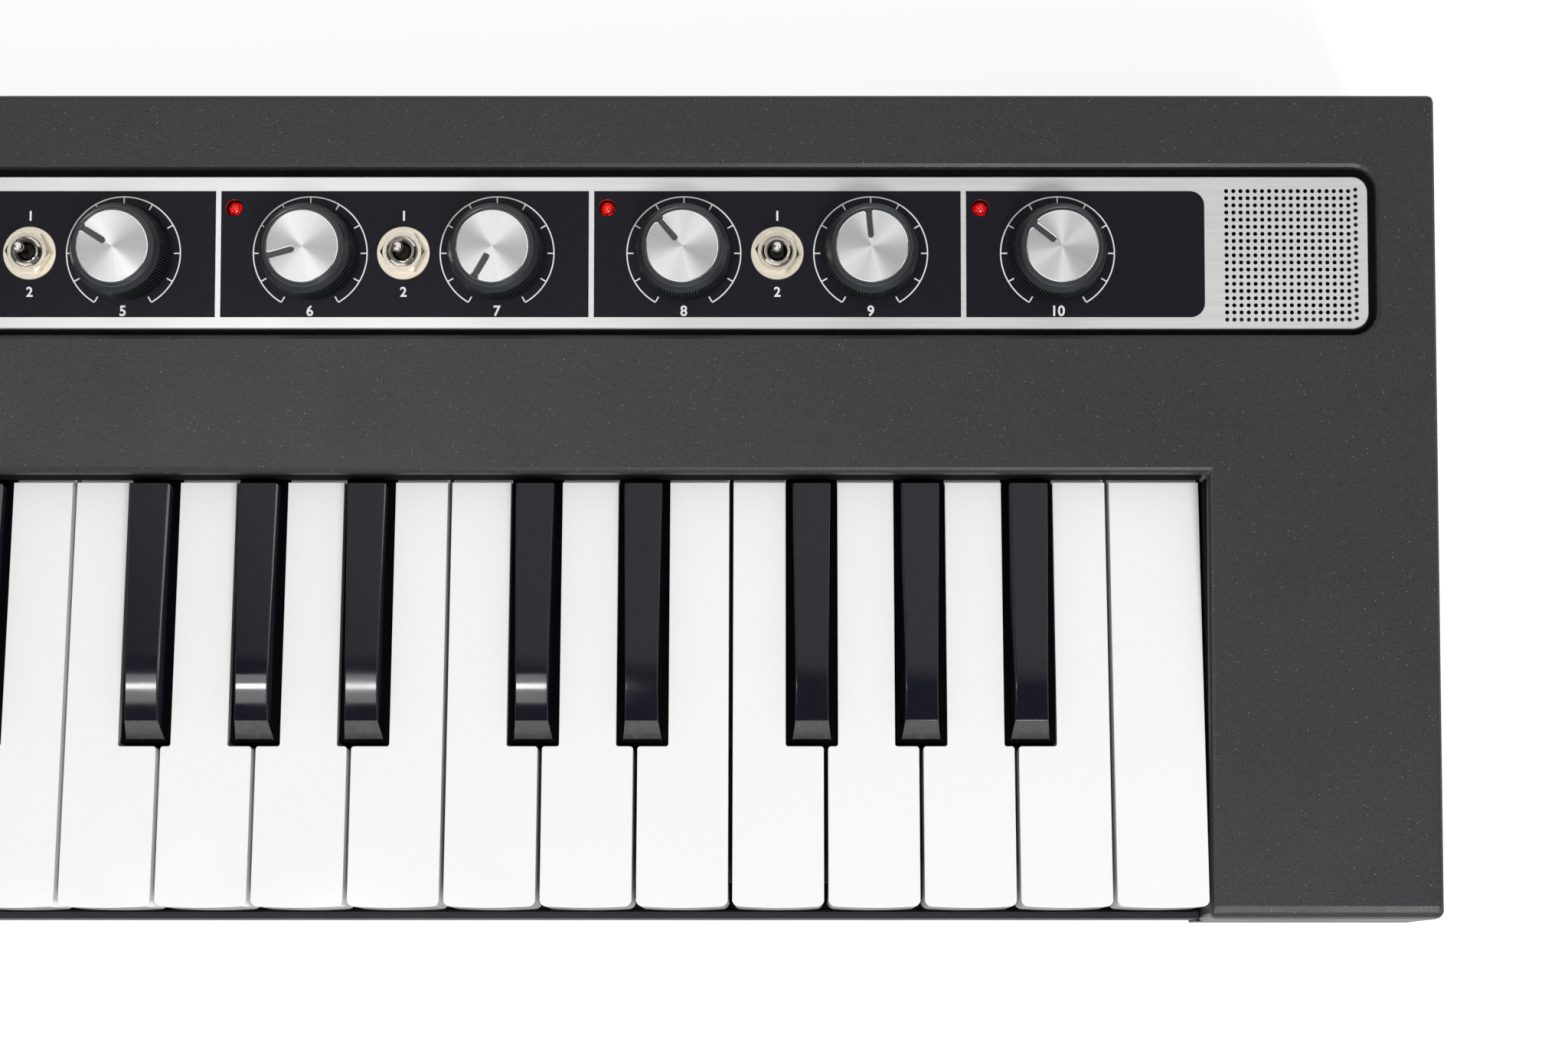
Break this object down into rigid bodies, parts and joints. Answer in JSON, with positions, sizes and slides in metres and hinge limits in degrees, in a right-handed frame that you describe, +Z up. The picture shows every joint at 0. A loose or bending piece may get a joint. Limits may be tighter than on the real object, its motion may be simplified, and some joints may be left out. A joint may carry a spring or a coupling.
{
  "type": "electric piano",
  "caption": "Compact keyboard instrument with small piano keys, a sloping charcoal case, a brushed metal control plate with effect knobs and toggles, and sockets at the rear.",
  "frame": {"origin": "middle of the footprint, on the surface the feet stand on", "axes": "+X to the player's right, +Y to the rear, where the sockets are, +Z up"},
  "size_m": [0.53, 0.175, 0.0601],
  "materials": {
    "top_case": "fine matte texture, charcoal",
    "bottom_case": "matte, black, with rubber feet",
    "control_panel": "brushed along its length, black print",
    "key_chassis": "moulded, grey",
    "control_board": "laminate board, green, with metal bushings and nuts",
    "jack_board": "laminate board, green, with black sockets",
    "speakers": "paper cone in a black frame",
    "white_keys": "satin to glossy, white",
    "black_keys": "glossy, blue-black",
    "knobs": "ribbed side, spun metal cap",
    "levers": "polished",
    "octave_slider": "moulded, black",
    "power_button": "moulded, black"
  },
  "bodies": {
    "case": {"top_case": "top_case", "bottom_case": "bottom_case", "control_panel": "control_panel", "key_chassis": "key_chassis", "control_board": "control_board", "jack_board": "jack_board", "speaker_left": "speakers", "speaker_right": "speakers"},
    "knob_volume": {"knob_volume": "knobs"},
    "knob_voice": {"knob_voice": "knobs"},
    "knob_drive": {"knob_drive": "knobs"},
    "knob_first_depth": {"knob_first_depth": "knobs"},
    "knob_first_rate": {"knob_first_rate": "knobs"},
    "knob_second_depth": {"knob_second_depth": "knobs"},
    "knob_second_speed": {"knob_second_speed": "knobs"},
    "knob_delay_depth": {"knob_delay_depth": "knobs"},
    "knob_delay_time": {"knob_delay_time": "knobs"},
    "knob_reverb_depth": {"knob_reverb_depth": "knobs"},
    "toggle_lever_1": {"toggle_lever_1": "levers"},
    "toggle_lever_2": {"toggle_lever_2": "levers"},
    "toggle_lever_3": {"toggle_lever_3": "levers"},
    "octave_slider": {"octave_slider": "octave_slider"},
    "power_button": {"power_button": "power_button"},
    "key_c1": {"key_c1": "white_keys"},
    "key_c_sharp1": {"key_c_sharp1": "black_keys"},
    "key_d1": {"key_d1": "white_keys"},
    "key_d_sharp1": {"key_d_sharp1": "black_keys"},
    "key_e1": {"key_e1": "white_keys"},
    "key_f1": {"key_f1": "white_keys"},
    "key_f_sharp1": {"key_f_sharp1": "black_keys"},
    "key_g1": {"key_g1": "white_keys"},
    "key_g_sharp1": {"key_g_sharp1": "black_keys"},
    "key_a1": {"key_a1": "white_keys"},
    "key_a_sharp1": {"key_a_sharp1": "black_keys"},
    "key_b1": {"key_b1": "white_keys"},
    "key_c2": {"key_c2": "white_keys"},
    "key_c_sharp2": {"key_c_sharp2": "black_keys"},
    "key_d2": {"key_d2": "white_keys"},
    "key_d_sharp2": {"key_d_sharp2": "black_keys"},
    "key_e2": {"key_e2": "white_keys"},
    "key_f2": {"key_f2": "white_keys"},
    "key_f_sharp2": {"key_f_sharp2": "black_keys"},
    "key_g2": {"key_g2": "white_keys"},
    "key_g_sharp2": {"key_g_sharp2": "black_keys"},
    "key_a2": {"key_a2": "white_keys"},
    "key_a_sharp2": {"key_a_sharp2": "black_keys"},
    "key_b2": {"key_b2": "white_keys"},
    "key_c3": {"key_c3": "white_keys"},
    "key_c_sharp3": {"key_c_sharp3": "black_keys"},
    "key_d3": {"key_d3": "white_keys"},
    "key_d_sharp3": {"key_d_sharp3": "black_keys"},
    "key_e3": {"key_e3": "white_keys"},
    "key_f3": {"key_f3": "white_keys"},
    "key_f_sharp3": {"key_f_sharp3": "black_keys"},
    "key_g3": {"key_g3": "white_keys"},
    "key_g_sharp3": {"key_g_sharp3": "black_keys"},
    "key_a3": {"key_a3": "white_keys"},
    "key_a_sharp3": {"key_a_sharp3": "black_keys"},
    "key_b3": {"key_b3": "white_keys"},
    "key_c4": {"key_c4": "white_keys"}
  },
  "joints": [
    {"name": "knob_volume_turn", "type": "hinge", "parent": "case", "child": "knob_volume", "pos_m": [-0.16385, 0.0492, 0.04918], "axis": [0, -0.1219, 0.9925], "range_deg": [-150, 150]},
    {"name": "knob_voice_turn", "type": "hinge", "parent": "case", "child": "knob_voice", "pos_m": [-0.12495, 0.0492, 0.04918], "axis": [0, -0.1219, 0.9925], "range_deg": [-240, 60]},
    {"name": "knob_drive_turn", "type": "hinge", "parent": "case", "child": "knob_drive", "pos_m": [-0.08605, 0.0492, 0.04918], "axis": [0, -0.1219, 0.9925], "range_deg": [-210, 90]},
    {"name": "knob_first_depth_turn", "type": "hinge", "parent": "case", "child": "knob_first_depth", "pos_m": [-0.04715, 0.0492, 0.04918], "axis": [0, -0.1219, 0.9925], "range_deg": [-245, 55]},
    {"name": "knob_first_rate_turn", "type": "hinge", "parent": "case", "child": "knob_first_rate", "pos_m": [-0.00825, 0.0492, 0.04918], "axis": [0, -0.1219, 0.9925], "range_deg": [-208, 92]},
    {"name": "knob_second_depth_turn", "type": "hinge", "parent": "case", "child": "knob_second_depth", "pos_m": [0.03065, 0.0492, 0.04918], "axis": [0, -0.1219, 0.9925], "range_deg": [-256, 44]},
    {"name": "knob_second_speed_turn", "type": "hinge", "parent": "case", "child": "knob_second_speed", "pos_m": [0.06955, 0.0492, 0.04918], "axis": [0, -0.1219, 0.9925], "range_deg": [-300, 0]},
    {"name": "knob_delay_depth_turn", "type": "hinge", "parent": "case", "child": "knob_delay_depth", "pos_m": [0.10845, 0.0492, 0.04918], "axis": [0, -0.1219, 0.9925], "range_deg": [-191, 109]},
    {"name": "knob_delay_time_turn", "type": "hinge", "parent": "case", "child": "knob_delay_time", "pos_m": [0.14735, 0.0492, 0.04918], "axis": [0, -0.1219, 0.9925], "range_deg": [-156, 144]},
    {"name": "knob_reverb_depth_turn", "type": "hinge", "parent": "case", "child": "knob_reverb_depth", "pos_m": [0.18625, 0.0492, 0.04918], "axis": [0, -0.1219, 0.9925], "range_deg": [-202, 98]},
    {"name": "toggle_lever_1_tilt", "type": "hinge", "parent": "case", "child": "toggle_lever_1", "pos_m": [-0.0277, 0.04908, 0.05017], "axis": [1, 0, 0], "range_deg": [-12.5, 12.5]},
    {"name": "toggle_lever_2_tilt", "type": "hinge", "parent": "case", "child": "toggle_lever_2", "pos_m": [0.0501, 0.04908, 0.05017], "axis": [1, 0, 0], "range_deg": [-12.5, 12.5]},
    {"name": "toggle_lever_3_tilt", "type": "hinge", "parent": "case", "child": "toggle_lever_3", "pos_m": [0.1279, 0.04908, 0.05017], "axis": [1, 0, 0], "range_deg": [-12.5, 12.5]},
    {"name": "octave_slider_slide", "type": "slide", "parent": "case", "child": "octave_slider", "axis": [1, 0, 0], "range_m": [-0.008, 0.008]},
    {"name": "power_button_press", "type": "slide", "parent": "case", "child": "power_button", "axis": [0, -1, 0], "range_m": [0, 0.002], "stiffness_N_per_m": 300, "springref_m": -0.002},
    {"name": "key_c1_press", "type": "hinge", "parent": "case", "child": "key_c1", "pos_m": [-0.20694, 0.04, 0.0295], "axis": [1, 0, 0], "range_deg": [0, 3.6], "stiffness_Nm_per_rad": 0.6, "springref_deg": -4.76},
    {"name": "key_c_sharp1_press", "type": "hinge", "parent": "case", "child": "key_c_sharp1", "pos_m": [-0.19854, 0.04, 0.0295], "axis": [1, 0, 0], "range_deg": [0, 3.6], "stiffness_Nm_per_rad": 0.6, "springref_deg": -4.76},
    {"name": "key_d1_press", "type": "hinge", "parent": "case", "child": "key_d1", "pos_m": [-0.18724, 0.04, 0.0295], "axis": [1, 0, 0], "range_deg": [0, 3.6], "stiffness_Nm_per_rad": 0.6, "springref_deg": -4.76},
    {"name": "key_d_sharp1_press", "type": "hinge", "parent": "case", "child": "key_d_sharp1", "pos_m": [-0.17593, 0.04, 0.0295], "axis": [1, 0, 0], "range_deg": [0, 3.6], "stiffness_Nm_per_rad": 0.6, "springref_deg": -4.76},
    {"name": "key_e1_press", "type": "hinge", "parent": "case", "child": "key_e1", "pos_m": [-0.16753, 0.04, 0.0295], "axis": [1, 0, 0], "range_deg": [0, 3.6], "stiffness_Nm_per_rad": 0.6, "springref_deg": -4.76},
    {"name": "key_f1_press", "type": "hinge", "parent": "case", "child": "key_f1", "pos_m": [-0.14782, 0.04, 0.0295], "axis": [1, 0, 0], "range_deg": [0, 3.6], "stiffness_Nm_per_rad": 0.6, "springref_deg": -4.76},
    {"name": "key_f_sharp1_press", "type": "hinge", "parent": "case", "child": "key_f_sharp1", "pos_m": [-0.14086, 0.04, 0.0295], "axis": [1, 0, 0], "range_deg": [0, 3.6], "stiffness_Nm_per_rad": 0.6, "springref_deg": -4.76},
    {"name": "key_g1_press", "type": "hinge", "parent": "case", "child": "key_g1", "pos_m": [-0.12811, 0.04, 0.0295], "axis": [1, 0, 0], "range_deg": [0, 3.6], "stiffness_Nm_per_rad": 0.6, "springref_deg": -4.76},
    {"name": "key_g_sharp1_press", "type": "hinge", "parent": "case", "child": "key_g_sharp1", "pos_m": [-0.11825, 0.04, 0.0295], "axis": [1, 0, 0], "range_deg": [0, 3.6], "stiffness_Nm_per_rad": 0.6, "springref_deg": -4.76},
    {"name": "key_a1_press", "type": "hinge", "parent": "case", "child": "key_a1", "pos_m": [-0.1084, 0.04, 0.0295], "axis": [1, 0, 0], "range_deg": [0, 3.6], "stiffness_Nm_per_rad": 0.6, "springref_deg": -4.76},
    {"name": "key_a_sharp1_press", "type": "hinge", "parent": "case", "child": "key_a_sharp1", "pos_m": [-0.09564, 0.04, 0.0295], "axis": [1, 0, 0], "range_deg": [0, 3.6], "stiffness_Nm_per_rad": 0.6, "springref_deg": -4.76},
    {"name": "key_b1_press", "type": "hinge", "parent": "case", "child": "key_b1", "pos_m": [-0.08869, 0.04, 0.0295], "axis": [1, 0, 0], "range_deg": [0, 3.6], "stiffness_Nm_per_rad": 0.6, "springref_deg": -4.76},
    {"name": "key_c2_press", "type": "hinge", "parent": "case", "child": "key_c2", "pos_m": [-0.06898, 0.04, 0.0295], "axis": [1, 0, 0], "range_deg": [0, 3.6], "stiffness_Nm_per_rad": 0.6, "springref_deg": -4.76},
    {"name": "key_c_sharp2_press", "type": "hinge", "parent": "case", "child": "key_c_sharp2", "pos_m": [-0.06058, 0.04, 0.0295], "axis": [1, 0, 0], "range_deg": [0, 3.6], "stiffness_Nm_per_rad": 0.6, "springref_deg": -4.76},
    {"name": "key_d2_press", "type": "hinge", "parent": "case", "child": "key_d2", "pos_m": [-0.04927, 0.04, 0.0295], "axis": [1, 0, 0], "range_deg": [0, 3.6], "stiffness_Nm_per_rad": 0.6, "springref_deg": -4.76},
    {"name": "key_d_sharp2_press", "type": "hinge", "parent": "case", "child": "key_d_sharp2", "pos_m": [-0.03797, 0.04, 0.0295], "axis": [1, 0, 0], "range_deg": [0, 3.6], "stiffness_Nm_per_rad": 0.6, "springref_deg": -4.76},
    {"name": "key_e2_press", "type": "hinge", "parent": "case", "child": "key_e2", "pos_m": [-0.02956, 0.04, 0.0295], "axis": [1, 0, 0], "range_deg": [0, 3.6], "stiffness_Nm_per_rad": 0.6, "springref_deg": -4.76},
    {"name": "key_f2_press", "type": "hinge", "parent": "case", "child": "key_f2", "pos_m": [-0.00985, 0.04, 0.0295], "axis": [1, 0, 0], "range_deg": [0, 3.6], "stiffness_Nm_per_rad": 0.6, "springref_deg": -4.76},
    {"name": "key_f_sharp2_press", "type": "hinge", "parent": "case", "child": "key_f_sharp2", "pos_m": [-0.0029, 0.04, 0.0295], "axis": [1, 0, 0], "range_deg": [0, 3.6], "stiffness_Nm_per_rad": 0.6, "springref_deg": -4.76},
    {"name": "key_g2_press", "type": "hinge", "parent": "case", "child": "key_g2", "pos_m": [0.00985, 0.04, 0.0295], "axis": [1, 0, 0], "range_deg": [0, 3.6], "stiffness_Nm_per_rad": 0.6, "springref_deg": -4.76},
    {"name": "key_g_sharp2_press", "type": "hinge", "parent": "case", "child": "key_g_sharp2", "pos_m": [0.01971, 0.04, 0.0295], "axis": [1, 0, 0], "range_deg": [0, 3.6], "stiffness_Nm_per_rad": 0.6, "springref_deg": -4.76},
    {"name": "key_a2_press", "type": "hinge", "parent": "case", "child": "key_a2", "pos_m": [0.02956, 0.04, 0.0295], "axis": [1, 0, 0], "range_deg": [0, 3.6], "stiffness_Nm_per_rad": 0.6, "springref_deg": -4.76},
    {"name": "key_a_sharp2_press", "type": "hinge", "parent": "case", "child": "key_a_sharp2", "pos_m": [0.04232, 0.04, 0.0295], "axis": [1, 0, 0], "range_deg": [0, 3.6], "stiffness_Nm_per_rad": 0.6, "springref_deg": -4.76},
    {"name": "key_b2_press", "type": "hinge", "parent": "case", "child": "key_b2", "pos_m": [0.04927, 0.04, 0.0295], "axis": [1, 0, 0], "range_deg": [0, 3.6], "stiffness_Nm_per_rad": 0.6, "springref_deg": -4.76},
    {"name": "key_c3_press", "type": "hinge", "parent": "case", "child": "key_c3", "pos_m": [0.06898, 0.04, 0.0295], "axis": [1, 0, 0], "range_deg": [0, 3.6], "stiffness_Nm_per_rad": 0.6, "springref_deg": -4.76},
    {"name": "key_c_sharp3_press", "type": "hinge", "parent": "case", "child": "key_c_sharp3", "pos_m": [0.07739, 0.04, 0.0295], "axis": [1, 0, 0], "range_deg": [0, 3.6], "stiffness_Nm_per_rad": 0.6, "springref_deg": -4.76},
    {"name": "key_d3_press", "type": "hinge", "parent": "case", "child": "key_d3", "pos_m": [0.08869, 0.04, 0.0295], "axis": [1, 0, 0], "range_deg": [0, 3.6], "stiffness_Nm_per_rad": 0.6, "springref_deg": -4.76},
    {"name": "key_d_sharp3_press", "type": "hinge", "parent": "case", "child": "key_d_sharp3", "pos_m": [0.1, 0.04, 0.0295], "axis": [1, 0, 0], "range_deg": [0, 3.6], "stiffness_Nm_per_rad": 0.6, "springref_deg": -4.76},
    {"name": "key_e3_press", "type": "hinge", "parent": "case", "child": "key_e3", "pos_m": [0.1084, 0.04, 0.0295], "axis": [1, 0, 0], "range_deg": [0, 3.6], "stiffness_Nm_per_rad": 0.6, "springref_deg": -4.76},
    {"name": "key_f3_press", "type": "hinge", "parent": "case", "child": "key_f3", "pos_m": [0.12811, 0.04, 0.0295], "axis": [1, 0, 0], "range_deg": [0, 3.6], "stiffness_Nm_per_rad": 0.6, "springref_deg": -4.76},
    {"name": "key_f_sharp3_press", "type": "hinge", "parent": "case", "child": "key_f_sharp3", "pos_m": [0.13506, 0.04, 0.0295], "axis": [1, 0, 0], "range_deg": [0, 3.6], "stiffness_Nm_per_rad": 0.6, "springref_deg": -4.76},
    {"name": "key_g3_press", "type": "hinge", "parent": "case", "child": "key_g3", "pos_m": [0.14782, 0.04, 0.0295], "axis": [1, 0, 0], "range_deg": [0, 3.6], "stiffness_Nm_per_rad": 0.6, "springref_deg": -4.76},
    {"name": "key_g_sharp3_press", "type": "hinge", "parent": "case", "child": "key_g_sharp3", "pos_m": [0.15767, 0.04, 0.0295], "axis": [1, 0, 0], "range_deg": [0, 3.6], "stiffness_Nm_per_rad": 0.6, "springref_deg": -4.76},
    {"name": "key_a3_press", "type": "hinge", "parent": "case", "child": "key_a3", "pos_m": [0.16753, 0.04, 0.0295], "axis": [1, 0, 0], "range_deg": [0, 3.6], "stiffness_Nm_per_rad": 0.6, "springref_deg": -4.76},
    {"name": "key_a_sharp3_press", "type": "hinge", "parent": "case", "child": "key_a_sharp3", "pos_m": [0.18028, 0.04, 0.0295], "axis": [1, 0, 0], "range_deg": [0, 3.6], "stiffness_Nm_per_rad": 0.6, "springref_deg": -4.76},
    {"name": "key_b3_press", "type": "hinge", "parent": "case", "child": "key_b3", "pos_m": [0.18724, 0.04, 0.0295], "axis": [1, 0, 0], "range_deg": [0, 3.6], "stiffness_Nm_per_rad": 0.6, "springref_deg": -4.76},
    {"name": "key_c4_press", "type": "hinge", "parent": "case", "child": "key_c4", "pos_m": [0.20694, 0.04, 0.0295], "axis": [1, 0, 0], "range_deg": [0, 3.6], "stiffness_Nm_per_rad": 0.6, "springref_deg": -4.76}
  ]
}
